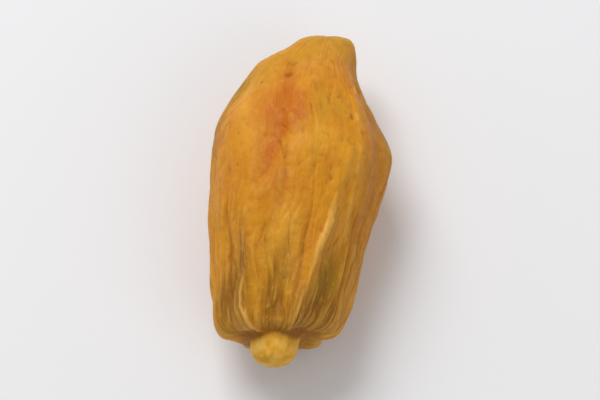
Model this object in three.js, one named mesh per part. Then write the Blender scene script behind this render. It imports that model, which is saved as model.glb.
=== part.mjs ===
// A whole dried hog plum, lying on its side. Millimetres, +Z up.
//
// The stalk end points to -Y and the tip to +Y. The fruit rests on the small flat spot that it got while
// it dried, and the origin is in the middle of its footprint. It is one solid: stone, flesh and skin
// shrank together, and the pale knob at the stalk end is the fruit's own tissue.

import * as THREE from "three";
import { mergeVertices } from "three/addons/utils/BufferGeometryUtils.js";

// Driving dimensions
const LENGTH = 45; // stalk knob to tip
const WIDTH = 24; // across the belly, lying down
const THICKNESS = 20.5; // from the flat spot to the top of the belly

const HALF_WIDTH = WIDTH / 2;
const FLATTENING = 0.9; // height of a cross-section over its width
const EDGE_SOFTNESS = 0.15; // how far the rim of the flat spot is rounded, in mm

// Mesh fineness
const SECTORS = 80; // faces round the fruit
const RINGS = 58; // rows of faces from knob to tip
const CURVE_STEPS = 1200; // samples for spacing the rings evenly

const FLESH_COLOUR = 0xc98a34;
const FLESH_ROUGHNESS = 0.5;

// The fruit's outline from the stalk knob to the tip. Each station holds the place along the fruit as a
// share of its length, then half the width, the middle's shift to the right, and the middle's height, all
// three as shares of half the width.
const STATIONS = [
  // the stalk knob
  [0.0, 0.0, -0.285, 0.81],
  [0.005, 0.12, -0.285, 0.81],
  [0.021, 0.208, -0.285, 0.81],
  [0.048, 0.258, -0.28, 0.81],
  [0.074, 0.27, -0.275, 0.805],
  // the shallow hollow round it, and the blunt lobed end
  [0.091, 0.325, -0.27, 0.79],
  [0.096, 0.415, -0.26, 0.765],
  [0.097, 0.52, -0.245, 0.735],
  [0.112, 0.625, -0.23, 0.715],
  [0.155, 0.703, -0.215, 0.71],
  // the body
  [0.243, 0.775, -0.18, 0.71],
  [0.355, 0.85, -0.125, 0.72],
  [0.478, 0.925, -0.055, 0.745],
  [0.6, 0.955, -0.005, 0.765],
  [0.71, 0.87, -0.005, 0.775],
  [0.81, 0.7, 0.015, 0.765],
  // the blunt tip, bent to the right
  [0.885, 0.545, 0.085, 0.75],
  [0.945, 0.42, 0.185, 0.735],
  [0.984, 0.29, 0.25, 0.73],
  [1.0, 0.0, 0.28, 0.73],
];

// Raised ribs and sunken furrows that run along the fruit. Each holds its height in mm, below zero in a
// furrow, then its reach, the distance in mm over which it dies away sideways, and its path. The path is a
// list of [share of the way over the skin from knob to tip, degrees round the fruit], with 0 degrees the
// top and 90 the right side.
const STROKES = [
  // ribs that run down into the knob's upper corners
  [0.65, 1.4, [[0.05, 40], [0.1, 21], [0.13, 14], [0.17, 13], [0.25, 20], [0.31, 24], [0.4, 30], [0.6, 34]]],
  [0.5, 1.3, [[0.05, -30], [0.1, -20], [0.13, -26], [0.17, -30], [0.215, -36], [0.29, -31], [0.52, -37]]],
  // the broad ribs of the upper half
  [0.4, 2.2, [[0.32, -6], [0.5, -5], [0.64, 2], [0.88, 14]]],
  [0.35, 2.6, [[0.48, 36], [0.6, 44], [0.76, 52], [0.92, 64]]],
  // the furrow beside the middle rib
  [-0.65, 1.7, [[0.48, -24], [0.6, -18], [0.74, -9], [0.88, -14]]],
  // troughs beside the ribs at the stalk end
  [-0.8, 1.5, [[0.14, -6], [0.24, -5], [0.42, 6]]],
  [-0.7, 1.5, [[0.14, 46], [0.21, 40], [0.46, 46]]],
  [-0.65, 1.5, [[0.14, -54], [0.21, -54], [0.3, -50], [0.48, -56]]],
  // the sides and the underside
  [0.4, 1.8, [[0.1, 104], [0.3, 88], [0.6, 84], [0.88, 96]]],
  [-0.7, 1.6, [[0.14, 124], [0.3, 112], [0.58, 116]]],
  [0.4, 1.8, [[0.1, 146], [0.35, 138], [0.7, 142], [0.92, 150]]],
  [-0.6, 1.8, [[0.14, 172], [0.3, 176], [0.55, 180]]],
  [0.4, 1.8, [[0.1, 202], [0.4, 210], [0.7, 204], [0.92, 200]]],
  [-0.65, 1.7, [[0.14, 232], [0.3, 236], [0.6, 242], [0.84, 244]]],
  [0.45, 1.8, [[0.1, 256], [0.3, 264], [0.6, 270], [0.9, 276]]],
  [-0.5, 1.8, [[0.52, 160], [0.7, 168], [0.9, 172]]],
  [-0.35, 1.5, [[0.5, 66], [0.68, 66], [0.88, 78]]],
];

// Rounded bumps, and flattened places with a height below zero. Heights, reaches and places are as above.
const BUMPS = [
  { way: 0.615, degrees: 84, reach: 3.4, height: 0.7 }, // bulge on the right flank
  { way: 0.8, degrees: 80, reach: 3.6, height: -0.15 },
  { way: 0.84, degrees: -68, reach: 2.8, height: 0.95 }, // shoulder beside the tip
  { way: 0.9, degrees: -75, reach: 1.6, height: -0.75 }, // the nick above that shoulder
  { way: 0.95, degrees: -65, reach: 2.0, height: 0.3 },
  { way: 0.93, degrees: 78, reach: 2.6, height: 0.4 }, // the tip's corner
  { way: 0.78, degrees: 30, reach: 4.2, height: 0.35 },
  { way: 0.68, degrees: -52, reach: 5.0, height: 0.35 },
  { way: 0.2, degrees: -72, reach: 3.0, height: 0.6 }, // left lobe of the stalk end
  { way: 0.2, degrees: 66, reach: 2.8, height: 0.6 }, // right lobe of the stalk end
  { way: 0.19, degrees: 148, reach: 3.2, height: 0.3 },
  { way: 0.19, degrees: 204, reach: 3.2, height: 0.4 },
  { way: 0.42, degrees: 72, reach: 5.0, height: -0.4 }, // flattened right flank
  { way: 0.5, degrees: 230, reach: 5.5, height: -0.5 },
  { way: 0.75, degrees: 128, reach: 4.5, height: -0.45 },
  { way: 0.05, degrees: 20, reach: 2.0, height: 0.2 }, // uneven knob
  { way: 0.06, degrees: 190, reach: 1.8, height: -0.25 },
];

// A stroke's height rises and falls over this share of the way at each of its ends.
const STROKE_FADE = 0.1;
// Nearer to the long axis than this, in mm, all relief dies away, so the two ends stay smooth.
const POLE_CALM = 2.6;

/** The smooth step from 0 at low to 1 at high. */
function ramp(low, high, value) {
  return THREE.MathUtils.smoothstep(value, low, high);
}

/** The difference between two directions in degrees, from -180 to 180. */
function turnBetween(degrees, reference) {
  return THREE.MathUtils.euclideanModulo(degrees - reference + 180, 360) - 180;
}

/** The four values of the stations on a smooth curve through them, at a position counted in stations. */
function stationAt(position) {
  const last = STATIONS.length - 1;
  const index = Math.min(Math.floor(position), last - 1);
  const t = position - index;
  const near = [index - 1, index, index + 1, index + 2];
  const [before, from, to, after] = near.map((i) => STATIONS[THREE.MathUtils.clamp(i, 0, last)]);
  return from.map((value, channel) => {
    const leaving = (to[channel] - before[channel]) / 2;
    const arriving = (after[channel] - value) / 2;
    const end = to[channel];
    const bend = 3 * (end - value) - 2 * leaving - arriving;
    const twist = 2 * (value - end) + leaving + arriving;
    return value + t * (leaving + t * (bend + t * twist));
  });
}

/** Stations for each ring of vertices, spaced evenly over the skin from the knob to the tip. */
function evenStations() {
  const samples = [];
  let travelled = 0;
  for (let step = 0; step <= CURVE_STEPS; step++) {
    const [along, halfWidth, right, height] = stationAt((step / CURVE_STEPS) * (STATIONS.length - 1));
    const here = {
      x: right * HALF_WIDTH,
      y: along * LENGTH,
      z: height * HALF_WIDTH,
      radius: Math.max(halfWidth, 0) * HALF_WIDTH,
    };
    const previous = samples[samples.length - 1] ?? here;
    travelled += Math.hypot(here.y - previous.y, here.radius - previous.radius);
    samples.push({ ...here, travelled });
  }
  return Array.from({ length: RINGS + 1 }, (_, ring) => {
    const way = ring / RINGS;
    const reached = samples.find((sample) => sample.travelled >= way * travelled) ?? samples[CURVE_STEPS];
    return { ...reached, way, wayLength: travelled };
  });
}

/** Where a path runs at a share of the way: its direction in degrees, and its strength from 0 to 1. */
function pathAt(path, way) {
  const [start, finish] = [path[0][0], path[path.length - 1][0]];
  if (way <= start || way >= finish) {
    return { degrees: 0, strength: 0 };
  }
  const next = path.findIndex(([share]) => share > way);
  const [[fromWay, fromDegrees], [toWay, toDegrees]] = [path[next - 1], path[next]];
  return {
    degrees: THREE.MathUtils.mapLinear(way, fromWay, toWay, fromDegrees, toDegrees),
    strength: ramp(0, STROKE_FADE, way - start) * ramp(0, STROKE_FADE, finish - way),
  };
}

/** How far the skin stands out from the smooth body, in mm, at a station and a direction in degrees. */
function reliefAt(station, degrees) {
  const arc = (direction) => THREE.MathUtils.degToRad(turnBetween(degrees, direction)) * station.radius;
  let relief = 0;
  for (const [height, reach, path] of STROKES) {
    const { degrees: middle, strength } = pathAt(path, station.way);
    const apart = arc(middle) / reach;
    relief += height * strength * Math.exp(-apart * apart);
  }
  for (const { way, degrees: middle, reach, height } of BUMPS) {
    const ahead = (station.way - way) * station.wayLength;
    const apart = Math.hypot(arc(middle), ahead) / reach;
    relief += height * Math.exp(-apart * apart);
  }
  return relief * ramp(0, POLE_CALM, station.radius);
}

/** A height after the fruit has settled on a level surface at 0, where its flat spot has a rounded rim. */
function settled(height) {
  const overlap = Math.max(EDGE_SOFTNESS - Math.abs(height), 0) / EDGE_SOFTNESS;
  return Math.max(height, 0) + (overlap * overlap * EDGE_SOFTNESS) / 4;
}

/** The fruit's closed skin, from a sphere whose poles are the knob and the tip. */
function fruitGeometry() {
  const sphere = new THREE.SphereGeometry(1, SECTORS, RINGS);
  sphere.deleteAttribute("normal");
  sphere.deleteAttribute("uv");
  const skin = mergeVertices(sphere);
  const rings = evenStations();
  const place = skin.getAttribute("position");
  const reliefs = [];

  // the smooth body
  for (let i = 0; i < place.count; i++) {
    const polar = Math.acos(THREE.MathUtils.clamp(place.getY(i), -1, 1));
    const station = rings[Math.round((1 - polar / Math.PI) * RINGS)];
    const round = Math.atan2(place.getX(i), place.getZ(i));
    reliefs.push(reliefAt(station, THREE.MathUtils.radToDeg(round)));
    place.setXYZ(
      i,
      station.x + station.radius * Math.sin(round),
      station.y,
      station.z + station.radius * FLATTENING * Math.cos(round),
    );
  }

  // the ribs, furrows and bumps, square to that body, and the flat spot
  skin.computeVertexNormals();
  const out = skin.getAttribute("normal");
  for (let i = 0; i < place.count; i++) {
    const point = new THREE.Vector3().fromBufferAttribute(place, i);
    point.addScaledVector(new THREE.Vector3().fromBufferAttribute(out, i), reliefs[i]);
    place.setXYZ(i, point.x, point.y, settled(point.z));
  }
  return skin;
}

/** Scales a geometry to the driving dimensions and puts the middle of its underside at the origin. */
function fitToSize(geometry) {
  geometry.computeBoundingBox();
  const size = geometry.boundingBox.getSize(new THREE.Vector3());
  geometry.scale(WIDTH / size.x, LENGTH / size.y, THICKNESS / size.z);
  geometry.computeBoundingBox();
  const { min, max } = geometry.boundingBox;
  return geometry.translate(-(min.x + max.x) / 2, -(min.y + max.y) / 2, -min.z);
}

const driedHogPlum = new THREE.Mesh(
  fitToSize(fruitGeometry()),
  new THREE.MeshStandardMaterial({ color: FLESH_COLOUR, roughness: FLESH_ROUGHNESS, metalness: 0 }),
);
driedHogPlum.name = "dried_hog_plum";

const part = new THREE.Group();
part.add(driedHogPlum);

export default part;
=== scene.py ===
"""A whole dried hog plum lying on a pale floor, in soft studio light.

The plum is one piece. A grid is rolled into a ball and drawn out to the fruit's outline, ribs, furrows,
dents and drying wrinkles move the skin along its normals, and it settles on its flat spot. The leathery
flesh takes its colours from masks that follow the same ribs, hollows and patches; shade is painted into
its hollows, folds and flanks, and highlights onto its crests and some of its ribs.
"""

import logging
import math
from collections.abc import Iterable, Mapping
from dataclasses import dataclass, replace
from enum import Enum
from typing import Any

import bmesh
import bpy
import numpy as np
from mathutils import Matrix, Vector, noise


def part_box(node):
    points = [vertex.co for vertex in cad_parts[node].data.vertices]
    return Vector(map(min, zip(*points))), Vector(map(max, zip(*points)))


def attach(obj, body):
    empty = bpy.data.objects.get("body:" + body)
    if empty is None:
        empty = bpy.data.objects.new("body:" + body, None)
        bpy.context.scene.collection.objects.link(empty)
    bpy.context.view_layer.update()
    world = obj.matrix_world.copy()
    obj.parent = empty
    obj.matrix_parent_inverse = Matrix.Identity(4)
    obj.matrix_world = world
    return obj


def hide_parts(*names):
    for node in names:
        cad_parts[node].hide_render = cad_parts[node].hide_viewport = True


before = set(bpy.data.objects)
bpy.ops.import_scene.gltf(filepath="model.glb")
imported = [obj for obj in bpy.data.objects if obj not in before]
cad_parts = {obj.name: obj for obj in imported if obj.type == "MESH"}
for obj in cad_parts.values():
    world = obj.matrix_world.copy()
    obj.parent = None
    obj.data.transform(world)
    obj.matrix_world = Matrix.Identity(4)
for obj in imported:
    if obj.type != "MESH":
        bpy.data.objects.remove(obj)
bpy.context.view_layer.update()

log = logging.getLogger("dried_hog_plum")

MM = 0.001
CAD_NODE = "dried_hog_plum"

Array = np.ndarray


def smooth_step(low: float, high: float, values: Array | float) -> Array:
    """Ease from 0 to 1 between two limits.

    Args:
        low: Value at which the result leaves 0.
        high: Value at which the result reaches 1.
        values: Where to take the step.

    Returns:
        The eased values, from 0 to 1.
    """
    t = np.clip((np.asarray(values, float) - low) / (high - low), 0.0, 1.0)
    return t * t * (3.0 - 2.0 * t)


def turn_between(degrees: Array, middle: Array | float) -> Array:
    """Find the turn from one direction round the fruit to another.

    Args:
        degrees: Directions in degrees.
        middle: The direction, or directions, to count from.

    Returns:
        The differences in degrees, from -180 to 180.
    """
    return (degrees - middle + 180.0) % 360.0 - 180.0


def linear(colour: str) -> tuple[float, float, float, float]:
    """Turn an sRGB hex colour into the linear colour that a shader takes.

    Args:
        colour: A colour such as "#cc842f".

    Returns:
        Linear red, green and blue, and an alpha of 1.
    """
    # the sRGB curve has a straight foot, then a power
    parts = [int(colour[i : i + 2], 16) / 255.0 for i in (1, 3, 5)]
    red, green, blue = (c / 12.92 if c <= 0.04045 else ((c + 0.055) / 1.055) ** 2.4 for c in parts)
    return red, green, blue, 1.0


def add_node(
    tree: bpy.types.NodeTree,
    kind: str,
    inputs: Mapping[str | int, Any] | None = None,
    **settings: Any,
) -> bpy.types.Node:
    """Add a node with its settings, its values and its links.

    Args:
        tree: The node tree to add it to.
        kind: The node's type, such as "ShaderNodeMix".
        inputs: For each input, by name or number, the socket that feeds it or its plain value.
        **settings: The node's own settings, such as its operation.

    Returns:
        The new node.
    """
    node = tree.nodes.new(kind)
    for name, value in settings.items():
        setattr(node, name, value)
    for key, value in (inputs or {}).items():
        if isinstance(value, bpy.types.NodeSocket):
            tree.links.new(value, node.inputs[key])
        else:
            node.inputs[key].default_value = value
    return node


# --- the fruit's form -----------------------------------------------------------------------------------


# a beaded stroke adds two waves of unlike lengths, which gives an uneven row of beads
BEAD_WAVES = 0.61  # length of the first wave over that of the second
BEAD_LEAD = 1.0  # how far the second wave runs ahead, in radians
BEAD_EDGE = (-0.3, 1.2)  # sums of the two waves at which a bead starts and is at its full height
BEAD_GAP = 0.25  # share of the height that stands between beads

CREASE_WIDTH = 0.09  # noise at which a sunken line has died away to about a third
CORD_WIDTH = 0.07  # noise at which a raised line has died away to about a third
PLEAT_ROUNDING = 0.004  # how far the valleys between pleats are rounded
PLEAT_HEIGHT = 1.4  # stretches pleats to about 1 from valley to crest
PLEAT_DROP = 0.6  # lowers them, so that they rise about as much as they fall

# shares of the way at which the knob ends, and the stalk end's skin starts, begins to fade and gives way
# to the tip's
WRINKLE_WAYS = (0.085, 0.13, 0.36, 0.62)
ROOMY_RADIUS_MM = 8.5  # where the fruit is this thick or thicker, wrinkles don't crowd


def cloudy_noise(points: Array) -> Array:
    """Read smooth noise.

    Args:
        points: Where to read it.

    Returns:
        One value per point, mostly within 0.5 of 0.
    """
    return np.array([noise.noise(point) for point in points])


@dataclass
class FruitPlace:
    """Where each vertex of the skin lies on the fruit.

    The way is the share of the way over the skin from knob to tip. The degrees run round the fruit: 0 is the
    top and 90 the right side.
    """

    way: Array
    degrees: Array
    radius_mm: Array
    way_length_mm: float

    def across(self, middle: Array | float) -> Array:
        """Give each vertex's distance in mm round the fruit from a direction in degrees."""
        return np.radians(turn_between(self.degrees, middle)) * self.radius_mm

    def ahead(self, way: float) -> Array:
        """Give each vertex's distance in mm along the skin from a share of the way."""
        return (self.way - way) * self.way_length_mm


@dataclass(frozen=True)
class Station:
    """A cross-section of the smooth body.

    Its place is a share of the plum's length, and the rest are shares of half its width.
    """

    along: float
    half_width: float
    right: float
    height: float


@dataclass(frozen=True)
class Stroke:
    """A rib, or a furrow with a height below zero, that runs along the plum.

    The path holds (way, degrees) as FruitPlace counts them, and the reach is how far the stroke dies away
    sideways. It rises and falls over the fade, a share of the way, at each of its ends. A beaded stroke
    breaks up into an uneven row of small beads, about that far apart.
    """

    height_mm: float
    reach_mm: float
    path: tuple[tuple[float, float], ...]
    fade: float = 0.1
    bead_mm: float = 0.0

    def heights(self, place: FruitPlace) -> Array:
        """Find how far the stroke raises the skin.

        Args:
            place: Where the vertices lie on the fruit.

        Returns:
            One height in mm per vertex.
        """
        shares, directions = zip(*self.path)
        middle = np.interp(place.way, shares, directions)
        rise = smooth_step(0, self.fade, place.way - shares[0])
        strength = rise * smooth_step(0, self.fade, shares[-1] - place.way)
        if self.bead_mm:
            strength = strength * self.beads(place)
        return self.height_mm * strength * np.exp(-((place.across(middle) / self.reach_mm) ** 2))

    def beads(self, place: FruitPlace) -> Array:
        """Find how much of a beaded stroke's height stands at each vertex.

        Args:
            place: Where the vertices lie on the fruit.

        Returns:
            One share per vertex, from the least between beads to 1 on them.
        """
        wave = 2 * math.pi * place.ahead(0) / self.bead_mm
        waves = np.cos(wave) + np.cos(BEAD_WAVES * wave + BEAD_LEAD)
        return BEAD_GAP + (1 - BEAD_GAP) * smooth_step(*BEAD_EDGE, waves)


@dataclass(frozen=True)
class Bump:
    """A rounded bump, or a dent with a height below zero. It may be longer along the fruit than across."""

    way: float
    degrees: float
    reach_mm: float
    height_mm: float
    stretch: float = 1.0

    def heights(self, place: FruitPlace) -> Array:
        """Give how far the bump raises the skin at each vertex, in mm."""
        along = place.ahead(self.way) / self.stretch
        return self.height_mm * np.exp(-(place.across(self.degrees) ** 2 + along**2) / self.reach_mm**2)


class WrinkleForm(Enum):
    """How a layer of wrinkles is cut in section."""

    ROUNDED = "rounded"  # soft rises and dents
    PLEATED = "pleated"  # plump folds with narrow valleys between
    CREASED = "creased"  # thin sunken lines
    CORDED = "corded"  # thin raised lines

    def cut(self, wave: Array) -> Array:
        """Turn smooth noise into heights.

        Args:
            wave: Noise round 0, mostly within 0.5 of it.

        Returns:
            Heights of about 1 from the lowest to the highest.
        """
        if self is WrinkleForm.PLEATED:
            return np.sqrt(np.abs(wave) + PLEAT_ROUNDING) * PLEAT_HEIGHT - PLEAT_DROP
        if self is WrinkleForm.CREASED:
            return -np.exp(-((wave / CREASE_WIDTH) ** 2))
        if self is WrinkleForm.CORDED:
            return np.exp(-((wave / CORD_WIDTH) ** 2))
        return wave


@dataclass(frozen=True)
class WrinkleLayer:
    """Wrinkles that drying left in the skin. They are shallower where the fruit narrows and they crowd.

    The shares say how much of the full depth they have on the knob, at the stalk end and at the tip.
    """

    form: WrinkleForm
    across_mm: float
    along_mm: float
    depth_mm: float
    shares: tuple[float, float, float]
    seed: float

    def heights(self, grain: Array, place: FruitPlace) -> Array:
        """Find how far the wrinkles move the skin.

        Args:
            grain: The coordinates in mm that the wrinkles follow.
            place: Where the vertices lie on the fruit.

        Returns:
            One height in mm per vertex.
        """
        wave = cloudy_noise(grain / [self.across_mm, self.across_mm, self.along_mm] + self.seed)
        knob, stalk, tip = self.shares
        share = np.interp(place.way, WRINKLE_WAYS, [knob, stalk, stalk, tip])
        room = np.clip(place.radius_mm / ROOMY_RADIUS_MM, 0, 1)
        return self.depth_mm * share * room * self.form.cut(wave)


@dataclass(frozen=True)
class SoftEdge:
    """A soft edge round the fruit, between two shares of the way. Noise of 1 shifts it by its waver."""

    start: float
    end: float
    waver: float = 0.0

    def passed(self, way: Array, stray: Array) -> Array:
        """Give how far past the edge each vertex is, from 0 to 1, where stray noise shifts the edge."""
        return smooth_step(self.start, self.end, way + self.waver * stray)


def raised(shapes: Iterable[Stroke | Bump], place: FruitPlace) -> Array:
    """Add up how far some shapes raise the skin.

    Args:
        shapes: The strokes and bumps.
        place: Where the vertices lie on the fruit.

    Returns:
        One height in mm per vertex.
    """
    return sum(shape.heights(place) for shape in shapes)


STATIONS = (
    # the stalk knob
    Station(0.0, 0.0, -0.285, 0.81),
    Station(0.005, 0.12, -0.285, 0.81),
    Station(0.021, 0.208, -0.285, 0.81),
    Station(0.048, 0.258, -0.28, 0.81),
    Station(0.074, 0.27, -0.275, 0.805),
    # the shallow hollow round it, and the blunt lobed end
    Station(0.091, 0.325, -0.27, 0.79),
    Station(0.096, 0.415, -0.26, 0.765),
    Station(0.097, 0.52, -0.245, 0.735),
    Station(0.112, 0.625, -0.23, 0.715),
    Station(0.155, 0.703, -0.215, 0.71),
    # the body
    Station(0.243, 0.775, -0.18, 0.71),
    Station(0.355, 0.85, -0.125, 0.72),
    Station(0.478, 0.925, -0.055, 0.745),
    Station(0.6, 0.955, -0.005, 0.765),
    Station(0.71, 0.87, -0.005, 0.775),
    Station(0.81, 0.7, 0.015, 0.765),
    # the blunt tip, bent to the right
    Station(0.885, 0.545, 0.085, 0.75),
    Station(0.945, 0.42, 0.185, 0.735),
    Station(0.984, 0.29, 0.25, 0.73),
    Station(1.0, 0.0, 0.28, 0.73),
)

RIBS = (
    # those that run down into the knob's upper corners
    Stroke(
        0.65,
        1.4,
        ((0.05, 40), (0.1, 21), (0.13, 14), (0.17, 13), (0.25, 20), (0.31, 24), (0.4, 30), (0.6, 34)),
    ),
    Stroke(
        0.5,
        1.3,
        ((0.05, -30), (0.1, -20), (0.13, -26), (0.17, -30), (0.215, -36), (0.29, -31), (0.52, -37)),
    ),
    # the broad ones of the upper half
    Stroke(0.4, 2.2, ((0.32, -6), (0.5, -5), (0.64, 2), (0.88, 14))),
    Stroke(0.35, 2.6, ((0.48, 36), (0.6, 44), (0.76, 52), (0.92, 64))),
    # the sides and the underside
    Stroke(0.4, 1.8, ((0.1, 104), (0.3, 88), (0.6, 84), (0.88, 96))),
    Stroke(0.4, 1.8, ((0.1, 146), (0.35, 138), (0.7, 142), (0.92, 150))),
    Stroke(0.4, 1.8, ((0.1, 202), (0.4, 210), (0.7, 204), (0.92, 200))),
    Stroke(0.45, 1.8, ((0.1, 256), (0.3, 264), (0.6, 270), (0.9, 276))),
)

# pale fibres that stand up a little from the flesh, near the knob and beaded on the upper right flank
FIBRES = (
    Stroke(0.15, 0.3, ((0.08, 26), (0.1, 21), (0.13, 14), (0.17, 13), (0.21, 17), (0.27, 21), (0.34, 26))),
    Stroke(0.32, 0.46, ((0.27, 21), (0.31, 24), (0.36, 27), (0.41, 31), (0.49, 31))),
    Stroke(
        0.26,
        0.3,
        ((0.07, -26), (0.1, -20), (0.13, -26), (0.17, -30), (0.215, -36), (0.24, -36), (0.32, -31)),
    ),
    Stroke(0.1, 0.4, ((0.26, -31), (0.36, -34), (0.52, -37))),
    Stroke(0.1, 0.6, ((0.12, 92), (0.17, 81), (0.2, 65), (0.27, 60)), fade=0.05),
    Stroke(0.14, 0.45, ((0.44, 44), (0.57, 43), (0.667, 44), (0.76, 50), (0.86, 62)), bead_mm=2.3),
    Stroke(0.12, 0.4, ((0.26, 44), (0.4, 47), (0.54, 44))),
    Stroke(0.12, 0.35, ((0.2, -58), (0.36, -56), (0.5, -60))),
    Stroke(0.15, 0.4, ((0.16, 96), (0.3, 90), (0.46, 92))),
    Stroke(0.15, 0.4, ((0.16, -104), (0.32, -96), (0.52, -92))),
    Stroke(0.15, 0.4, ((0.16, 156), (0.34, 150), (0.5, 154))),
)

FURROWS = (
    # the one beside the middle rib
    Stroke(-0.65, 1.7, ((0.48, -24), (0.6, -18), (0.74, -9), (0.88, -14))),
    # the troughs beside the ribs at the stalk end
    Stroke(-0.8, 1.5, ((0.14, -6), (0.24, -5), (0.42, 6))),
    Stroke(-0.7, 1.5, ((0.14, 46), (0.21, 40), (0.42, 45))),
    Stroke(-0.65, 1.5, ((0.14, -54), (0.21, -54), (0.3, -50), (0.48, -56))),
    # the sides and the underside
    Stroke(-0.7, 1.6, ((0.14, 124), (0.3, 112), (0.58, 116))),
    Stroke(-0.6, 1.8, ((0.14, 172), (0.3, 176), (0.55, 180))),
    Stroke(-0.65, 1.7, ((0.14, 232), (0.3, 236), (0.6, 242), (0.84, 244))),
    Stroke(-0.5, 1.8, ((0.52, 160), (0.7, 168), (0.9, 172))),
    Stroke(-0.35, 1.5, ((0.5, 66), (0.68, 66), (0.88, 78))),
)

# narrow folds where the skin is drawn in
CREASES = (
    Stroke(-0.15, 0.5, ((0.18, -15), (0.28, -17), (0.36, -18), (0.46, -20))),
    Stroke(-0.2, 0.45, ((0.26, -38), (0.34, -36), (0.42, -36), (0.5, -38))),
    Stroke(-0.16, 0.45, ((0.22, 5), (0.28, 7), (0.33, 13), (0.44, 16))),
    Stroke(-0.14, 0.4, ((0.22, -3), (0.28, -5), (0.34, -7), (0.42, -8))),
    Stroke(-0.2, 0.5, ((0.18, 60), (0.3, 58), (0.44, 62))),
    Stroke(-0.2, 0.5, ((0.18, -84), (0.32, -78), (0.5, -76))),
    Stroke(-0.2, 0.5, ((0.18, 132), (0.34, 126), (0.52, 130))),
    Stroke(-0.22, 0.5, ((0.18, 218), (0.36, 224), (0.54, 222))),
    Stroke(-0.12, 0.6, ((0.56, -16), (0.66, -11), (0.78, -8)), fade=0.06),
)

BUMPS = (
    Bump(0.615, 84, 3.4, 0.7),  # bulge on the right flank
    Bump(0.8, 80, 3.6, -0.15),
    Bump(0.84, -68, 2.8, 0.95),  # shoulder beside the tip
    Bump(0.9, -75, 1.6, -0.75),  # the nick above that shoulder
    Bump(0.95, -65, 2.0, 0.3),
    Bump(0.93, 78, 2.6, 0.4),  # the tip's corner
    Bump(0.78, 30, 4.2, 0.35),
    Bump(0.68, -52, 5.0, 0.35),
    Bump(0.2, -72, 3.0, 0.6),  # left lobe of the stalk end
    Bump(0.2, 66, 2.8, 0.35),  # right lobe of the stalk end
    Bump(0.19, 148, 3.2, 0.3),
    Bump(0.19, 204, 3.2, 0.4),
    Bump(0.42, 72, 5.0, -0.4),  # flattened right flank
    Bump(0.5, 230, 5.5, -0.5),
    Bump(0.75, 128, 4.5, -0.45),
    Bump(0.05, 20, 2.0, 0.2),  # uneven knob
    Bump(0.06, 190, 1.8, -0.25),
)

PITS = (
    Bump(0.796, -15, 0.55, -0.35),
    Bump(0.664, 41, 0.4, -0.25),
    Bump(0.625, 47, 0.35, -0.22),
    Bump(0.602, 29, 0.35, -0.18),
    Bump(0.505, 24, 0.35, -0.15),
    Bump(0.72, 55, 0.4, -0.2),
    Bump(0.53, -52, 0.35, -0.15),
    Bump(0.36, -12, 0.35, -0.12),
    Bump(0.64, 118, 0.5, -0.3),
    Bump(0.44, -126, 0.45, -0.25),
    Bump(0.8, -140, 0.4, -0.2),
)

# broad swellings, then the stalk end's pleats, creases and cords, then the finer ones of the whole skin
WRINKLES = (
    WrinkleLayer(WrinkleForm.ROUNDED, 6.0, 8.0, 0.5, (0.1, 0.6, 1.0), 3.1),
    WrinkleLayer(WrinkleForm.PLEATED, 2.6, 18.0, 0.34, (0.0, 1.0, 0.22), 11.7),
    WrinkleLayer(WrinkleForm.CREASED, 1.5, 11.0, 0.14, (0.0, 1.0, 0.15), 23.9),
    WrinkleLayer(WrinkleForm.CORDED, 1.7, 15.0, 0.07, (0.0, 1.0, 0.2), 67.1),
    WrinkleLayer(WrinkleForm.CREASED, 2.6, 5.0, 0.11, (0.6, 0.2, 1.0), 41.3),
    WrinkleLayer(WrinkleForm.CREASED, 1.2, 2.4, 0.05, (1.0, 0.4, 1.0), 83.9),
    WrinkleLayer(WrinkleForm.ROUNDED, 1.5, 2.2, 0.09, (0.8, 0.8, 1.0), 37.3),
)


class Mask(Enum):
    """The masks that the flesh's colours follow. Each is an attribute on the skin, from 0 to 1."""

    KNOB = "knob"
    END_FACE = "end_face"
    FIBRE = "fibre"
    FIBROUS = "fibrous"
    SUNK = "sunk"
    HOLLOW = "hollow"
    CREST = "crest"
    STALK_END = "stalk_end"
    OCHRE = "ochre"
    BLUSH = "blush"
    GLOW = "painted_highlight"
    OLIVE = "olive"
    DUSKY_AND_SHADE = "dusky_and_shade"


GRAIN = "grain"  # the attribute with the coordinates that fibres follow, in mm
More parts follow.
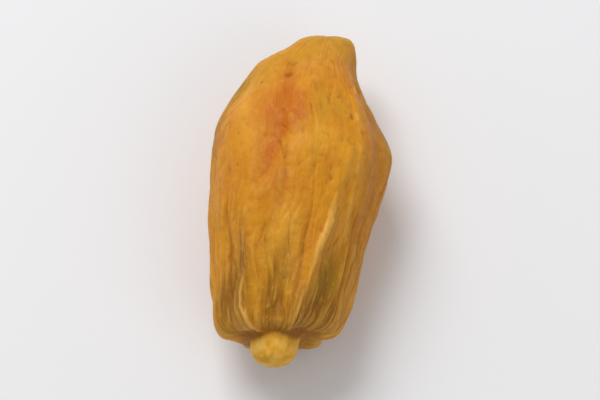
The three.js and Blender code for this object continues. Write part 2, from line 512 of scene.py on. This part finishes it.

# places where the flesh dried to another colour, and places of painted highlight and painted shade, where a
# height of 1 is the full colour; the last few of each colour lie on the sides and the underside
PATCHES: dict[Mask, tuple[Stroke | Bump, ...]] = {
    Mask.OCHRE: (
        Bump(0.93, 10, 5.5, 1.0),
        Stroke(0.6, 2.2, ((0.2, -4), (0.3, -2), (0.48, 0))),
        Stroke(1.0, 1.0, ((0.5, 9), (0.62, 12), (0.68, 16), (0.8, 17))),
        Bump(0.68, 29, 2.2, 0.7),
        Bump(0.78, -52, 3.0, 0.5),
        Bump(0.85, -40, 4.5, 0.7),
        Bump(0.55, 170, 6.0, 0.6),
        Bump(0.4, -140, 4.0, 0.5),
    ),
    Mask.BLUSH: (
        Bump(0.68, -9, 2.6, 1.5, stretch=1.25),
        Stroke(0.6, 1.1, ((0.48, -26), (0.53, -23), (0.59, -18), (0.66, -11)), fade=0.06),
        Stroke(0.5, 1.2, ((0.7, -10), (0.8, -15), (0.88, -34)), fade=0.06),
        Stroke(0.3, 1.6, ((0.5, -24), (0.61, -25), (0.72, -30), (0.84, -36))),
        Bump(0.785, 19, 1.9, 0.4, stretch=1.3),
        # painted light, lifting the shade in the trough beside the first rib
        Bump(0.38, 42, 2.0, 0.25, stretch=1.6),
        Bump(0.5, -6, 3.2, 0.35, stretch=1.3),
        Bump(0.45, -24, 2.6, 0.3),
        Bump(0.46, 0, 2.2, 0.2),
        Bump(0.66, 150, 3.4, 0.7, stretch=1.6),
        Bump(0.45, -110, 3.0, 0.5, stretch=1.8),
        Bump(0.72, 225, 2.6, 0.6, stretch=1.6),
    ),
    Mask.GLOW: (
        # painted highlights on the lit left shoulder, the rib and lobe edges, and in one trough's shade
        Stroke(0.6, 1.5, ((0.52, -34), (0.63, -38), (0.69, -42), (0.75, -53), (0.84, -60))),
        Bump(0.61, 10, 2.4, 0.35),
        Bump(0.38, 42, 1.8, 0.5, stretch=1.6),
        Stroke(0.35, 0.7, ((0.31, 24), (0.36, 27), (0.41, 31), (0.46, 31)), fade=0.05),
        Bump(0.375, -1, 2.2, 1.1, stretch=2.0),
        Bump(0.5, -2, 3.0, 0.25),
        Bump(0.785, 19, 1.9, 0.25),
        Stroke(0.4, 0.9, ((0.5, 43), (0.6, 43), (0.67, 45), (0.78, 52))),
        Stroke(0.8, 0.8, ((0.12, 92), (0.17, 81), (0.2, 65), (0.27, 60)), fade=0.05),
        Stroke(0.35, 0.9, ((0.12, -94), (0.17, -88), (0.2, -84), (0.28, -72)), fade=0.05),
        Stroke(0.2, 0.8, ((0.26, -25), (0.36, -27), (0.48, -29))),
        Bump(0.56, 8, 3.0, 0.2),
        Bump(0.6, 22, 3.2, 0.35),
        Bump(0.7, -168, 2.4, 0.6, stretch=1.8),
        Bump(0.5, 128, 2.2, 0.6, stretch=2.0),
        Bump(0.55, -96, 2.0, 0.6, stretch=2.0),
    ),
    Mask.OLIVE: (
        Bump(0.27, 41, 2.1, 1.1, stretch=1.5),
        Bump(0.77, -72, 2.6, 0.4),
        Bump(0.86, 70, 2.6, 0.4),
        Bump(0.28, -45, 1.8, 0.7, stretch=1.6),
        Bump(0.285, 1, 1.7, 0.5, stretch=1.4),
        # olive along both flanks and the tip's rim, partly the skin's own olive and partly painted shade
        Stroke(0.6, 3.0, ((0.36, -94), (0.7, -84), (0.8, -80), (0.86, -64), (0.96, -36)), fade=0.3),
        Stroke(0.6, 3.0, ((0.36, 94), (0.7, 85), (0.86, 76), (0.93, 68), (0.97, 50)), fade=0.3),
        Bump(1.0, 10, 6.5, 1.1, stretch=0.6),
        Bump(0.3, 150, 3.0, 0.7),
        Bump(0.86, -110, 3.0, 0.6),
    ),
    Mask.DUSKY_AND_SHADE: (
        # painted shade on the end lobes, which are partly dark brown, in the creases and on the right flank
        Bump(0.19, 42, 3.0, 1.2, stretch=1.2),
        Bump(0.19, 74, 3.0, 0.5, stretch=1.4),
        Bump(0.22, -60, 3.0, 1.0, stretch=1.6),
        Bump(0.2, -6, 2.3, 0.75, stretch=1.3),
        Bump(0.15, 44, 2.6, 0.6, stretch=1.1),
        Stroke(0.65, 1.3, ((0.14, -28), (0.18, -31), (0.215, -36), (0.29, -32), (0.42, -34))),
        Stroke(0.5, 0.9, ((0.13, 14), (0.17, 13), (0.22, 17), (0.28, 21)), fade=0.04),
        Stroke(0.25, 0.8, ((0.2, -15), (0.28, -17), (0.4, -19), (0.48, -20))),
        Stroke(0.4, 0.8, ((0.25, -38), (0.34, -36), (0.42, -36), (0.5, -38))),
        Stroke(0.35, 0.7, ((0.22, 5), (0.28, 7), (0.33, 13), (0.42, 16))),
        Stroke(0.4, 2.8, ((0.26, 54), (0.4, 58), (0.55, 64), (0.7, 67), (0.8, 72))),
        Bump(0.19, 150, 3.4, 0.6),
        Bump(0.19, -150, 3.4, 0.6),
        Stroke(0.45, 3.0, ((0.24, 88), (0.5, 92), (0.8, 96))),
    ),
}


@dataclass
class DriedHogPlum:
    """The whole fruit: one skin over stone and flesh that shrank together.

    Sizes are in mm until the finished skin is fitted to its box.
    """

    half_width_mm: float = 12.0
    length_mm: float = 45.0
    flattening: float = 0.9  # height of a cross-section over its width
    edge_softness_mm: float = 0.15  # how far the rim of the flat spot is rounded
    columns: int = 440  # faces round the fruit
    rows: int = 216  # faces from knob to tip
    weld_reach: float = 1e-5  # nearer to each other than this, vertices of the first ball are one
    curve_steps: int = 4000  # points on the curve through the stations
    pole_calm_mm: float = 2.6  # nearer to the long axis than this, relief dies away
    stray_degrees: float = 3.0  # how far the ribs stray from their smooth paths
    stray_lengths_mm: tuple[float, float, float] = (7.0, 7.0, 11.0)  # about how long one stray is
    stray_seed: float = 51.0
    grain_radius: float = 0.85  # of the cylinder that the grain is laid round, over half the plum's width
    waver_mm: float = 1.1  # how far the grain wavers
    waver_length_mm: float = 6.5  # about how far it is from one waver to the next
    waver_seeds: tuple[float, float, float] = (5.0, 31.0, 67.0)  # one for each coordinate
    hollow_rounds: int = 40  # rounds of smoothing that tell hollows from crests
    hollow_factor: float = 0.5  # how far a round moves a vertex towards its neighbours
    hollow_depth_mm: float = 0.16  # depth that counts as a full hollow
    knob_edge: SoftEdge = SoftEdge(0.082, 0.105, waver=0.015)
    end_face_edges: tuple[SoftEdge, SoftEdge] = (SoftEdge(0.082, 0.105), SoftEdge(0.11, 0.18, waver=0.06))
    stalk_end_edge: SoftEdge = SoftEdge(0.2, 0.56, waver=0.08)
    least_fibrous: float = 0.15  # how fibrous the tip looks, when the stalk end is 1
    end_face_loss: float = 0.6  # how much less fibrous the end face looks
    full_fibre_mm: float = 0.22  # height at which a fibre shows its full colour
    fibre_fading: tuple[float, float] = (0.85, 0.8)  # how much a fibre shows, and how uneven that is
    full_furrow_mm: float = 0.7  # depth at which a furrow shows its full painted shade
    name: str = "hog_plum_flesh"
    stations: tuple[Station, ...] = STATIONS

    def outline(self, way: Array) -> tuple[Array, float]:
        """Draw a smooth curve through the stations and follow it over the skin.

        Args:
            way: Shares of the way over the skin from knob to tip.

        Returns:
            Rows with the places along the fruit, radii, shifts right and heights at those shares, all in mm,
            and the length of the whole way in mm.
        """
        knots = np.array([[s.along, s.half_width, s.right, s.height] for s in self.stations])
        padded = np.vstack([knots[:1], knots, knots[-1:]])
        steps = np.linspace(0, len(knots) - 1, self.curve_steps)
        index = np.minimum(steps.astype(int), len(knots) - 2)
        t = (steps - index)[:, None]
        before, start, end, after = (padded[index + i] for i in range(4))
        leaving, arriving = (end - before) / 2, (after - start) / 2
        bend = 3 * (end - start) - 2 * leaving - arriving
        twist = 2 * (start - end) + leaving + arriving
        curve = start + t * (leaving + t * (bend + t * twist))
        curve *= [self.length_mm, self.half_width_mm, self.half_width_mm, self.half_width_mm]
        curve[:, 1] = np.maximum(curve[:, 1], 0.0)
        pieces = np.hypot(*np.diff(curve[:, :2], axis=0).T)
        travelled = np.concatenate([[0.0], np.cumsum(pieces)])
        way_length = travelled[-1]
        return np.array([np.interp(way * way_length, travelled, column) for column in curve.T]), way_length

    def start_skin(self) -> tuple[bmesh.types.BMesh, FruitPlace]:
        """Roll a grid into a ball, close its seam and poles, and draw the ball out to the smooth body.

        Returns:
            The skin, and where each of its vertices lies on the fruit.
        """
        skin = bmesh.new()
        bmesh.ops.create_grid(skin, x_segments=self.columns, y_segments=self.rows, size=1.0)
        grid = self.points(skin)
        longitude, latitude = grid[:, 0] * math.pi, grid[:, 1] * math.pi / 2
        girth = np.cos(latitude)
        globe = [girth * np.sin(longitude), np.sin(latitude), girth * np.cos(longitude)]
        self.move(skin, np.column_stack(globe))
        bmesh.ops.remove_doubles(skin, verts=skin.verts, dist=self.weld_reach)
        ball = self.points(skin)
        way = 1 - np.arccos(np.clip(ball[:, 1], -1, 1)) / math.pi
        turn = np.arctan2(ball[:, 0], ball[:, 2])
        (along, radius, right, height), way_length = self.outline(way)
        across, up = radius * np.sin(turn), radius * self.flattening * np.cos(turn)
        self.move(skin, np.column_stack([right + across, along, height + up]))
        return skin, FruitPlace(way, np.degrees(turn), radius, way_length)

    @staticmethod
    def points(skin: bmesh.types.BMesh) -> Array:
        """Give the places of the skin's vertices."""
        return np.array([v.co for v in skin.verts])

    @staticmethod
    def normals(skin: bmesh.types.BMesh) -> Array:
        """Give the normals of the skin's vertices."""
        return np.array([v.normal for v in skin.verts])

    @staticmethod
    def move(skin: bmesh.types.BMesh, points: Array) -> None:
        """Put the skin's vertices at new points and find its normals again.

        Args:
            skin: The skin.
            points: One point per vertex.
        """
        for vertex, point in zip(skin.verts, points):
            vertex.co = point
        skin.normal_update()

    def raise_skin(self, skin: bmesh.types.BMesh, heights: Array) -> None:
        """Move each vertex along its normal, by its height in mm."""
        self.move(skin, self.points(skin) + self.normals(skin) * heights[:, None])

    def grain(self, place: FruitPlace) -> Array:
        """Lay seamless coordinates round the fruit and along it, for fibres to follow.

        Args:
            place: Where the vertices lie on the fruit.

        Returns:
            For each vertex, two coordinates round the fruit and one along it, in mm.
        """
        turn = np.radians(place.degrees)
        radius = self.grain_radius * self.half_width_mm
        even = np.column_stack([radius * np.sin(turn), radius * np.cos(turn), place.ahead(0)])
        wavers = [cloudy_noise(even / self.waver_length_mm + seed) for seed in self.waver_seeds]
        return even + self.waver_mm * np.column_stack(wavers)

    def settle(self, skin: bmesh.types.BMesh) -> None:
        """Let the plum settle on a level surface at height 0, which gives it a flat spot with a soft rim.

        Args:
            skin: The skin, in mm.
        """
        points = self.points(skin)
        overlap = np.maximum(self.edge_softness_mm - np.abs(points[:, 2]), 0) / self.edge_softness_mm
        points[:, 2] = np.maximum(points[:, 2], 0) + overlap**2 * self.edge_softness_mm / 4
        self.move(skin, points)

    def fit(self, skin: bmesh.types.BMesh) -> None:
        """Fit the plum to the box of the solid that it stands for, in metres.

        Args:
            skin: The skin, in mm.
        """
        low, high = (np.array(corner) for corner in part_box(CAD_NODE))
        points = self.points(skin)
        own_low, own_high = points.min(axis=0), points.max(axis=0)
        self.move(skin, low + (points - own_low) * (high - low) / (own_high - own_low))

    def hollows(self, skin: bmesh.types.BMesh) -> Array:
        """Tell hollows from crests.

        Args:
            skin: The finished skin, in mm.

        Returns:
            For each vertex, how far the skin lies below its own smoothed form, as a share of a full hollow.
        """
        smoothed = skin.copy()
        axes = {"use_axis_x": True, "use_axis_y": True, "use_axis_z": True}
        for _ in range(self.hollow_rounds):
            bmesh.ops.smooth_vert(smoothed, verts=smoothed.verts, factor=self.hollow_factor, **axes)
        apart = self.points(smoothed) - self.points(skin)
        smoothed.free()
        return np.sum(apart * self.normals(skin), axis=1) / self.hollow_depth_mm

    def shrivel(self, skin: bmesh.types.BMesh, place: FruitPlace, strayed: FruitPlace, grain: Array) -> None:
        """Move the skin as drying did: first its broad shapes, then the fine ones square to those.

        Args:
            skin: The skin of the smooth body, in mm.
            place: Where the vertices lie on the fruit.
            strayed: The same, with the directions that ribs and furrows stray to.
            grain: The coordinates in mm that the wrinkles follow.
        """
        calm = smooth_step(0, self.pole_calm_mm, place.radius_mm)
        broad = raised(FURROWS, strayed) + raised(RIBS, strayed) + raised(BUMPS, place)
        self.raise_skin(skin, broad * calm)
        fine = raised(FIBRES, strayed) + raised(CREASES, strayed) + raised(PITS, place)
        wrinkles = sum(layer.heights(grain, place) for layer in WRINKLES)
        self.raise_skin(skin, (fine + wrinkles) * calm)

    def find_masks(self, strayed: FruitPlace, stray: Array, hollow: Array) -> dict[Mask, Array]:
        """Find how far each mask shows.

        Args:
            strayed: Where the vertices lie on the fruit, with the directions that ribs and furrows stray to.
            stray: The noise that those stray by.
            hollow: How far each vertex lies in a hollow.

        Returns:
            For each mask, one value per vertex.
        """
        knob = 1 - self.knob_edge.passed(strayed.way, stray)
        beside_knob, past_face = (edge.passed(strayed.way, stray) for edge in self.end_face_edges)
        end_face = beside_knob * (1 - past_face)
        stalk_end = 1 - self.stalk_end_edge.passed(strayed.way, stray)
        fibrous = self.least_fibrous + (1 - self.least_fibrous) * stalk_end
        shown, uneven = self.fibre_fading
        masks = {
            Mask.KNOB: knob,
            Mask.END_FACE: end_face,
            Mask.STALK_END: stalk_end * (1 - knob),
            Mask.FIBROUS: fibrous * (1 - knob) * (1 - self.end_face_loss * end_face),
            Mask.FIBRE: raised(FIBRES, strayed) / self.full_fibre_mm * (shown + uneven * stray),
            Mask.SUNK: -raised(FURROWS, strayed) / self.full_furrow_mm,
            Mask.HOLLOW: hollow,
            Mask.CREST: -hollow,
        }
        return masks | {mask: raised(shapes, strayed) for mask, shapes in PATCHES.items()}

    def finish(self, skin: bmesh.types.BMesh, masks: Mapping[Mask, Array], grain: Array) -> bpy.types.Object:
        """Make the skin an object of the scene, with its masks and its grain.

        Args:
            skin: The finished skin, in metres. It is freed.
            masks: For each mask, one value per vertex.
            grain: The coordinates in mm that fibres follow.

        Returns:
            The object.
        """
        mesh = bpy.data.meshes.new(self.name)
        skin.to_mesh(mesh)
        skin.free()
        for mask, values in masks.items():
            values = np.clip(values, 0, 1).astype(np.float32)
            mesh.attributes.new(mask.value, "FLOAT", "POINT").data.foreach_set("value", values)
        along_grain = mesh.attributes.new(GRAIN, "FLOAT_VECTOR", "POINT")
        along_grain.data.foreach_set("vector", grain.astype(np.float32).ravel())
        mesh.shade_smooth()
        plum = bpy.data.objects.new(self.name, mesh)
        bpy.context.scene.collection.objects.link(plum)
        return plum

    def build(self) -> bpy.types.Object:
        """Build the plum, with its masks.

        Returns:
            The finished object, at the origin, in metres.
        """
        skin, place = self.start_skin()
        grain = self.grain(place)
        stray = cloudy_noise(grain / self.stray_lengths_mm + self.stray_seed)
        strayed = replace(place, degrees=place.degrees + self.stray_degrees * stray)
        self.shrivel(skin, place, strayed, grain)
        hollow = self.hollows(skin)
        self.settle(skin)
        self.fit(skin)
        return self.finish(skin, self.find_masks(strayed, stray, hollow), grain)


# --- finishes -------------------------------------------------------------------------------------------


class Pattern(Enum):
    """The procedural patterns that the flesh's colours and fine relief follow."""

    CLOUDS = "clouds"
    PATCHY = "patchy"
    MOTTLE = "mottle"
    FIBRES = "fibres"
    FINE_FIBRES = "fine_fibres"
    GRAININESS = "graininess"
    PUCKERS = "puckers"
    SPECKS = "specks"


@dataclass(frozen=True)
class Cloudiness:
    """Cloudy noise with patches of a size in mm: where it follows the grain, two across it and one along."""

    pattern: Pattern
    size_mm: tuple[float, float, float]
    detail: float
    seed: float
    follows_grain: bool = False


@dataclass(frozen=True)
class Tint:
    """A colour laid over those before it, up to a share, as a mask or pattern goes from one value to another.

    Where it has a second mask, it shows only as far as that one does.
    """

    colour: str
    source: Mask | Pattern
    low: float
    high: float
    share: float
    within: Mask | Pattern | None = None


@dataclass(frozen=True)
class SunDriedFleshFinish:
    """Sour plum flesh and skin, sun-dried whole: leathery, waxy and a little translucent.

    It gives the eye a satin golden orange with cloudy patches, a red blush and painted highlights, smooth
    towards the tip, with long pale fibres and folds darkened by painted shade towards the stalk, and a pale
    yellow knob.
    """

    name: str = "hog_plum_flesh_sun_dried"
    golden: str = "#d18610"
    patterns: tuple[Cloudiness, ...] = (
        Cloudiness(Pattern.CLOUDS, (7.0, 9.0, 7.0), 2.0, 0.0),
        Cloudiness(Pattern.PATCHY, (4.0, 5.5, 4.0), 3.0, 7.0),
        Cloudiness(Pattern.MOTTLE, (1.3, 1.8, 1.3), 2.0, 15.0),
        # fibres about 1.5 mm apart and 1 to 2 cm long, and finer ones between them
        Cloudiness(Pattern.FIBRES, (1.3, 1.3, 15.0), 2.0, 3.0, follows_grain=True),
        Cloudiness(Pattern.FINE_FIBRES, (0.42, 0.42, 6.0), 2.0, 9.0, follows_grain=True),
        # the puckered skin, about 1 mm from one pucker to the next, and the flesh's graininess
        Cloudiness(Pattern.PUCKERS, (0.8, 1.1, 0.8), 3.0, 33.0),
        Cloudiness(Pattern.GRAININESS, (0.25, 0.25, 0.25), 3.0, 21.0),
    )
    tints: tuple[Tint, ...] = (
        # cloudy patches of the flesh
        Tint("#d9941a", Pattern.CLOUDS, 0.4, 0.62, 0.8),
        Tint("#c5731a", Pattern.PATCHY, 0.5, 0.7, 0.75),
        Tint("#c98f1c", Mask.OCHRE, 0.0, 1.0, 0.75),
        Tint("#db9824", Pattern.MOTTLE, 0.52, 0.7, 0.35),
        Tint("#b9761c", Pattern.MOTTLE, 0.46, 0.3, 0.3),
        # the red blush, browner stalk end, painted highlights, olive, and dark places partly painted shade
        Tint("#c06200", Mask.BLUSH, 0.0, 1.0, 0.85),
        Tint("#c98b18", Mask.STALK_END, 0.0, 1.0, 0.6),
        # a lighter orange as painted highlight
        Tint("#e6a330", Mask.GLOW, 0.0, 1.0, 0.75),
        # the patches have values of about 0.5, so olive shows by about half of its share
        Tint("#8a7206", Mask.OLIVE, 0.0, 1.0, 1.4, within=Pattern.PATCHY),
        # darker places, partly the skin's own brown and partly painted shade
        Tint("#6f4408", Mask.DUSKY_AND_SHADE, 0.0, 1.0, 0.7),
        # painted shade in the stalk end's furrows; the end face partly browner skin, partly painted shade
        Tint("#8c5a0c", Mask.SUNK, 0.1, 1.0, 0.5, within=Mask.STALK_END),
        Tint("#94641a", Mask.END_FACE, 0.0, 1.0, 0.65),
        # fibres
        Tint("#8a550a", Pattern.FIBRES, 0.48, 0.32, 0.55, within=Mask.FIBROUS),
        Tint("#dcaa4c", Pattern.FINE_FIBRES, 0.54, 0.74, 0.5, within=Mask.FIBROUS),
        # painted shade in the folds where the skin is drawn in, and a painted highlight on its crests
        Tint("#8f520e", Mask.HOLLOW, 0.15, 1.0, 0.5),
        Tint("#dda63e", Mask.CREST, 0.2, 1.0, 0.35),
        Tint("#f0b858", Mask.FIBRE, 0.1, 0.9, 1.0, within=Pattern.FINE_FIBRES),
        # painted shade between the puckers and painted highlight on them
        Tint("#a4681a", Pattern.PUCKERS, 0.46, 0.28, 0.35),
        Tint("#dfa234", Pattern.PUCKERS, 0.56, 0.72, 0.3),
        # the pale knob
        Tint("#e8ac32", Mask.KNOB, 0.0, 1.0, 0.85),
        Tint("#bd8c2c", Pattern.MOTTLE, 0.52, 0.36, 0.6, within=Mask.KNOB),
        Tint("#e6c062", Pattern.MOTTLE, 0.5, 0.66, 0.6, within=Mask.KNOB),
        Tint("#744212", Pattern.SPECKS, 0.12, 0.06, 0.7, within=Pattern.PATCHY),
    )
    speck_spacing_mm: float = 3.0
    relief: tuple[tuple[Pattern, float], ...] = (
        (Pattern.PUCKERS, 1.8),
        (Pattern.FINE_FIBRES, 0.8),
        (Pattern.GRAININESS, 0.3),
    )
    relief_mm: float = 0.16  # how deep the finest wrinkles are
    relief_strength: float = 0.6
    gloss: tuple[float, float] = (0.5, 0.62)  # roughness of crests and of hollows
    ior: float = 1.45
    shine: float = 0.24
    scatter_share: float = 0.15
    scatter_depth_mm: float = 1.3
    scatter_colours: tuple[float, float, float] = (1.0, 0.45, 0.12)

    def gather_fields(self, tree: bpy.types.NodeTree) -> dict[Mask | Pattern, bpy.types.NodeSocket]:
        """Add the nodes that read the masks and make the patterns.

        Args:
            tree: The material's node tree.

        Returns:
            The socket that holds each mask and each pattern.
        """
        place = add_node(tree, "ShaderNodeTexCoord").outputs["Object"]
        grain = add_node(tree, "ShaderNodeAttribute", attribute_name=GRAIN).outputs["Vector"]
        fields: dict[Mask | Pattern, bpy.types.NodeSocket] = {}
        for mask in Mask:
            fields[mask] = add_node(tree, "ShaderNodeAttribute", attribute_name=mask.value).outputs["Fac"]
        for cloudiness in self.patterns:
            unit = 1.0 if cloudiness.follows_grain else MM
            mapping = {
                "Vector": grain if cloudiness.follows_grain else place,
                "Location": (cloudiness.seed,) * 3,
                "Scale": [1 / (size * unit) for size in cloudiness.size_mm],
            }
            scaled = add_node(tree, "ShaderNodeMapping", mapping).outputs["Vector"]
            settings = {"Vector": scaled, "Scale": 1.0, "Detail": cloudiness.detail}
            fields[cloudiness.pattern] = add_node(tree, "ShaderNodeTexNoise", settings).outputs["Fac"]
        cells = {"Vector": place, "Scale": 1 / (self.speck_spacing_mm * MM)}
        fields[Pattern.SPECKS] = add_node(tree, "ShaderNodeTexVoronoi", cells).outputs["Distance"]
        return fields

    def colour(
        self, tree: bpy.types.NodeTree, fields: Mapping[Mask | Pattern, bpy.types.NodeSocket]
    ) -> bpy.types.NodeSocket:
        """Add the nodes that lay the tints over the golden flesh.

        Args:
            tree: The material's node tree.
            fields: The socket that holds each mask and each pattern.

        Returns:
            The socket with the finished colour.
        """
        colour: Any = linear(self.golden)
        for tint in self.tints:
            limits = {"From Min": tint.low, "From Max": tint.high, "To Max": tint.share}
            amount = add_node(
                tree,
                "ShaderNodeMapRange",
                {"Value": fields[tint.source], **limits},
                interpolation_type="SMOOTHSTEP",
            ).outputs["Result"]
            if tint.within:
                factors = {0: amount, 1: fields[tint.within]}
                amount = add_node(tree, "ShaderNodeMath", factors, operation="MULTIPLY").outputs[0]
            layers = {0: amount, 6: colour, 7: linear(tint.colour)}
            colour = add_node(tree, "ShaderNodeMix", layers, data_type="RGBA").outputs[2]
        return colour

    def fine_relief(
        self, tree: bpy.types.NodeTree, fields: Mapping[Mask | Pattern, bpy.types.NodeSocket]
    ) -> bpy.types.NodeSocket:
        """Add the nodes that draw the skin into tiny wrinkles, too fine for the mesh.

        Args:
            tree: The material's node tree.
            fields: The socket that holds each mask and each pattern.

        Returns:
            The socket with the bumped normal.
        """
        height: Any = 0.0
        for pattern, share in self.relief:
            layers = {0: fields[pattern], 1: share, 2: height}
            height = add_node(tree, "ShaderNodeMath", layers, operation="MULTIPLY_ADD").outputs[0]
        drawn_in = {"Height": height, "Strength": self.relief_strength, "Distance": self.relief_mm * MM}
        return add_node(tree, "ShaderNodeBump", drawn_in).outputs["Normal"]

    def build(self) -> bpy.types.Material:
        """Build the material.

        Returns:
            The material, with its colour, roughness and fine relief from nodes.
        """
        material = bpy.data.materials.new(self.name)
        material.use_nodes = True
        tree = material.node_tree
        shader = tree.nodes["Principled BSDF"]
        fields = self.gather_fields(tree)
        crest_gloss, hollow_gloss = self.gloss
        gloss = add_node(
            tree,
            "ShaderNodeMapRange",
            {"Value": fields[Mask.HOLLOW], "To Min": crest_gloss, "To Max": hollow_gloss},
        )
        tree.links.new(self.colour(tree, fields), shader.inputs["Base Color"])
        tree.links.new(gloss.outputs["Result"], shader.inputs["Roughness"])
        tree.links.new(self.fine_relief(tree, fields), shader.inputs["Normal"])
        shader.inputs["IOR"].default_value = self.ior
        shader.inputs["Specular IOR Level"].default_value = self.shine
        shader.inputs["Subsurface Weight"].default_value = self.scatter_share
        shader.inputs["Subsurface Scale"].default_value = self.scatter_depth_mm * MM
        shader.inputs["Subsurface Radius"].default_value = self.scatter_colours
        return material


@dataclass(frozen=True)
class PaintedBoardFinish:
    """Smooth board with matt paint. It gives the eye a plain pale grey."""

    name: str = "board_matt_painted"
    grey: str = "#eeeef0"
    roughness: float = 0.9
    shine: float = 0.0

    def build(self) -> bpy.types.Material:
        """Build the material.

        Returns:
            The material.
        """
        material = bpy.data.materials.new(self.name)
        material.use_nodes = True
        shader = material.node_tree.nodes["Principled BSDF"]
        shader.inputs["Base Color"].default_value = linear(self.grey)
        shader.inputs["Roughness"].default_value = self.roughness
        shader.inputs["Specular IOR Level"].default_value = self.shine
        return material


# --- the studio, in metres ------------------------------------------------------------------------------


@dataclass
class StudioCamera:
    """A long lens that looks down on the fruit from its stalk end."""

    elevation_degrees: float = 72.0
    distance: float = 0.39
    lens_mm: float = 180.0
    aim: tuple[float, float, float] = (0.0, 0.0, 0.0095)

    def build(self) -> bpy.types.Object:
        """Build the camera and make it the scene's.

        Returns:
            The camera.
        """
        data = bpy.data.cameras.new("studio_camera")
        data.lens = self.lens_mm
        camera = bpy.data.objects.new("studio_camera", data)
        tilt = math.radians(self.elevation_degrees)
        back = Vector((0.0, -math.cos(tilt), math.sin(tilt)))
        camera.location = Vector(self.aim) + back * self.distance
        camera.rotation_euler = (-back).to_track_quat("-Z", "Y").to_euler()
        bpy.context.scene.collection.objects.link(camera)
        bpy.context.scene.camera = camera
        return camera


class LampRole(Enum):
    """What each lamp does."""

    KEY = "key"
    FILL = "fill"


@dataclass
class SoftLamp:
    """A square softbox that points at the fruit."""

    role: LampRole
    place: tuple[float, float, float]
    side: float
    watts: float

    def build(self) -> bpy.types.Object:
        """Build the lamp.

        Returns:
            The lamp.
        """
        data = bpy.data.lights.new(f"{self.role.value}_softbox", "AREA")
        data.size = self.side
        data.energy = self.watts
        lamp = bpy.data.objects.new(data.name, data)
        lamp.location = self.place
        lamp.rotation_euler = Vector(self.place).to_track_quat("Z", "Y").to_euler()
        bpy.context.scene.collection.objects.link(lamp)
        return lamp


@dataclass
class Studio:
    """A plain pale floor, soft lamps and an even surround."""

    floor_half_side: float = 1.5
    surround: str = "#ffffff"
    surround_strength: float = 0.45
    backdrop: str = "#ededee"
    lamps: tuple[SoftLamp, ...] = (
        SoftLamp(LampRole.KEY, (-0.18, 0.34, 0.5), 0.35, 2.55),
        SoftLamp(LampRole.FILL, (0.4, -0.4, 0.4), 0.5, 0.55),
    )

    def build_floor(self) -> bpy.types.Object:
        """Build the floor, which is no part of the plum.

        Returns:
            The floor.
        """
        sheet = bmesh.new()
        bmesh.ops.create_grid(sheet, x_segments=1, y_segments=1, size=self.floor_half_side)
        mesh = bpy.data.meshes.new("studio_floor")
        sheet.to_mesh(mesh)
        sheet.free()
        mesh.materials.append(PaintedBoardFinish().build())
        floor = bpy.data.objects.new("studio_floor", mesh)
        bpy.context.scene.collection.objects.link(floor)
        return floor

    def build_surround(self) -> bpy.types.World:
        """Build the even surround, which shows as a pale backdrop where it is seen or reflected.

        Returns:
            The world.
        """
        world = bpy.data.worlds.new("studio_surround")
        world.use_nodes = True
        tree = world.node_tree
        light = tree.nodes["Background"]
        light.inputs["Color"].default_value = linear(self.surround)
        light.inputs["Strength"].default_value = self.surround_strength
        backdrop = add_node(tree, "ShaderNodeBackground", {"Color": linear(self.backdrop), "Strength": 1.0})
        path = add_node(tree, "ShaderNodeLightPath").outputs
        seen = path["Is Camera Ray"]
        for ray in ("Is Glossy Ray", "Is Transmission Ray"):
            seen = add_node(tree, "ShaderNodeMath", {0: seen, 1: path[ray]}, operation="MAXIMUM").outputs[0]
        shown = add_node(tree, "ShaderNodeMixShader", {0: seen, 1: light.outputs[0], 2: backdrop.outputs[0]})
        tree.links.new(shown.outputs[0], tree.nodes["World Output"].inputs["Surface"])
        bpy.context.scene.world = world
        return world

    def build(self) -> None:
        """Build the floor, the lamps and the surround."""
        log.info("floor: %s", self.build_floor().name)
        for lamp in self.lamps:
            log.info("lamp: %s", lamp.build().name)
        log.info("surround: %s", self.build_surround().name)


def main() -> None:
    """Build the camera, the plum and the studio, in that order."""
    logging.basicConfig(level=logging.INFO, format="%(name)s: %(message)s")
    bpy.context.scene.view_settings.view_transform = "Standard"
    log.info("camera: %s", StudioCamera().build().name)
    plum = DriedHogPlum().build()
    plum.data.materials.append(SunDriedFleshFinish().build())
    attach(plum, "root")
    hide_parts(CAD_NODE)
    log.info("piece: %s, %d faces", plum.name, len(plum.data.polygons))
    Studio().build()


if __name__ == "__main__":
    main()
